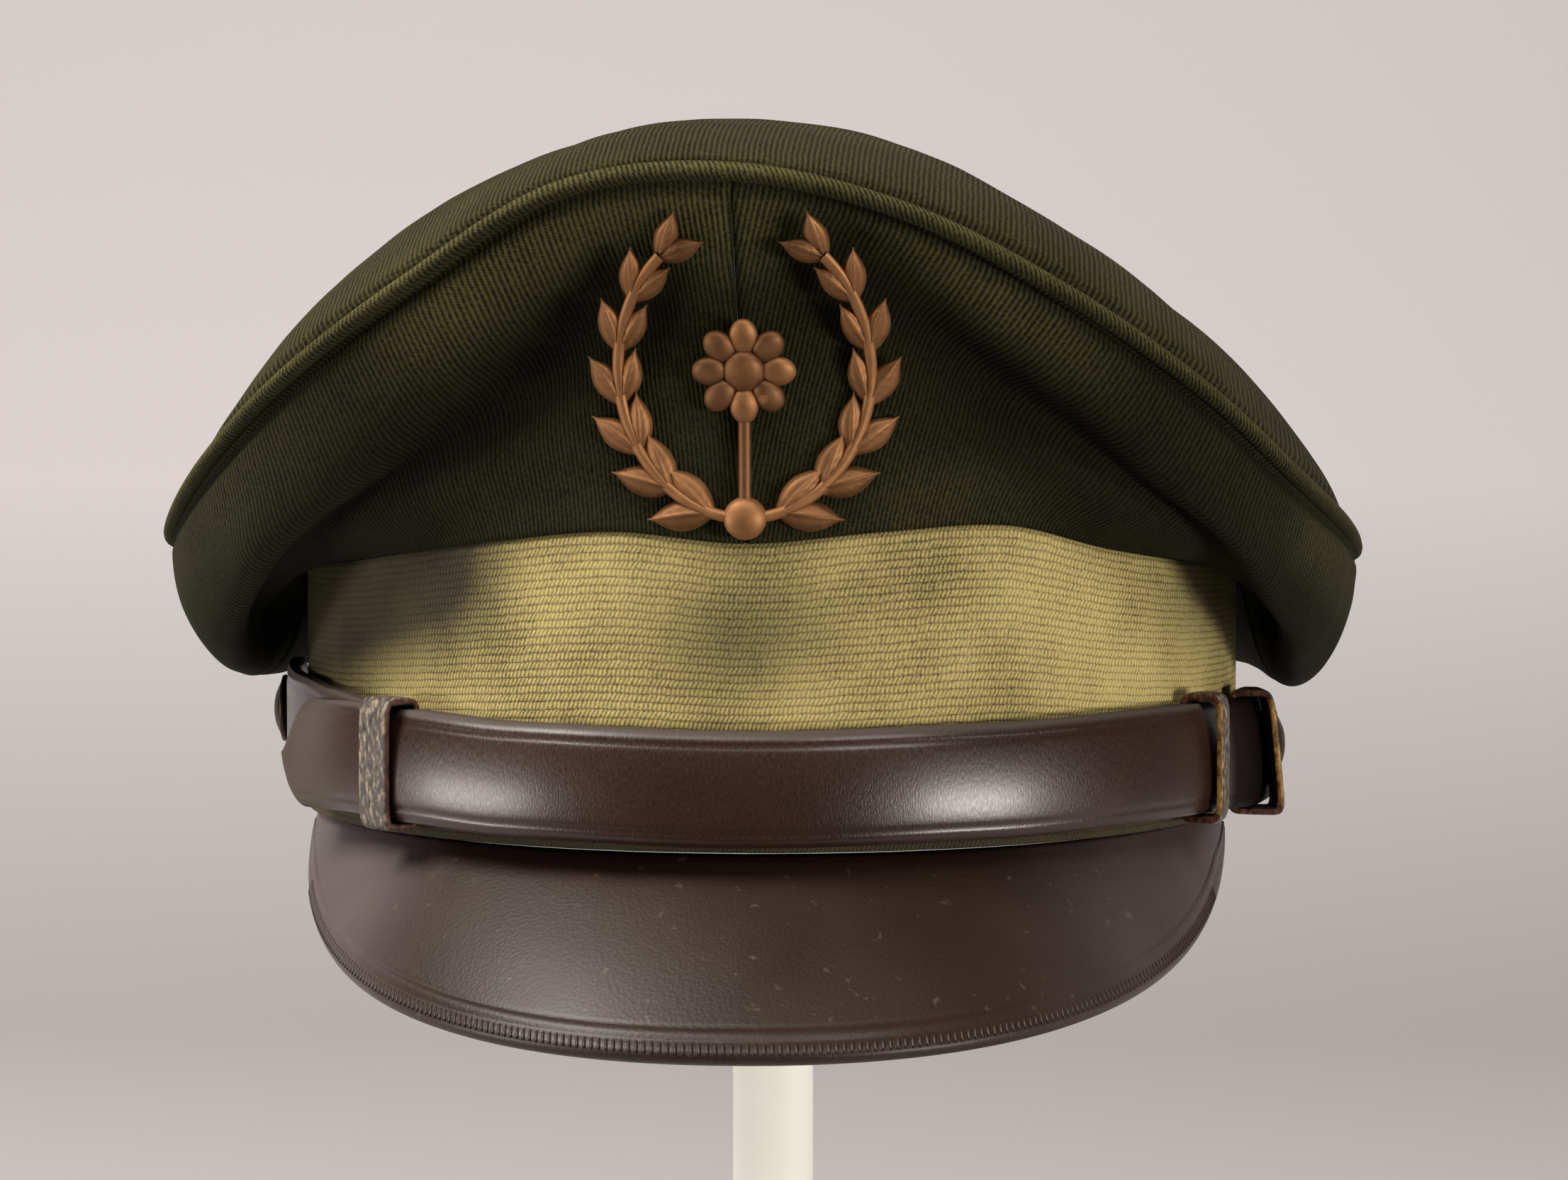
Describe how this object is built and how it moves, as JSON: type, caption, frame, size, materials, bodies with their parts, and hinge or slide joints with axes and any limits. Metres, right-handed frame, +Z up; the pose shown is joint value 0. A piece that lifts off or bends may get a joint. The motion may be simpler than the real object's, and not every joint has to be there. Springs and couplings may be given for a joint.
{
  "type": "peaked cap on display stand",
  "caption": "Peaked officer's cap with a soft drooping crown, ribbed braid band, leather visor, chin strap and copper badge, on a plain round display stand.",
  "frame": {"origin": "centre of the stand's underside, on the surface it stands on", "axes": "+Z up; the cap faces -Y; +X to the right of someone who faces the cap"},
  "size_m": [0.2214, 0.2768, 0.3137],
  "materials": {
    "crown_cloth": "dark olive ribbed wool twill",
    "band_braid": "khaki olive ribbed mohair braid",
    "visor_leather": "dark brown smooth leather, satin",
    "strap_leather": "dark red-brown polished leather",
    "keeper_leather": "worn brown leather with tan cut edges",
    "button_metal": "blackened bronze",
    "badge_metal": "aged copper, satin",
    "stand_paint": "off-white satin paint"
  },
  "bodies": {
    "root": {"stand_base": "stand_paint", "stand_post": "stand_paint", "stand_head": "stand_paint", "band": "band_braid", "crown_front_left": "crown_cloth", "crown_front_right": "crown_cloth", "crown_back_left": "crown_cloth", "crown_back_right": "crown_cloth", "crown_top": "crown_cloth", "crown_welt": "crown_cloth", "visor": "visor_leather", "strap_outer": "strap_leather", "strap_inner": "strap_leather", "keeper_left": "keeper_leather", "keeper_right": "keeper_leather", "keeper_loose": "keeper_leather", "side_button_left": "button_metal", "side_button_right": "button_metal", "badge": "badge_metal"}
  },
  "joints": []
}
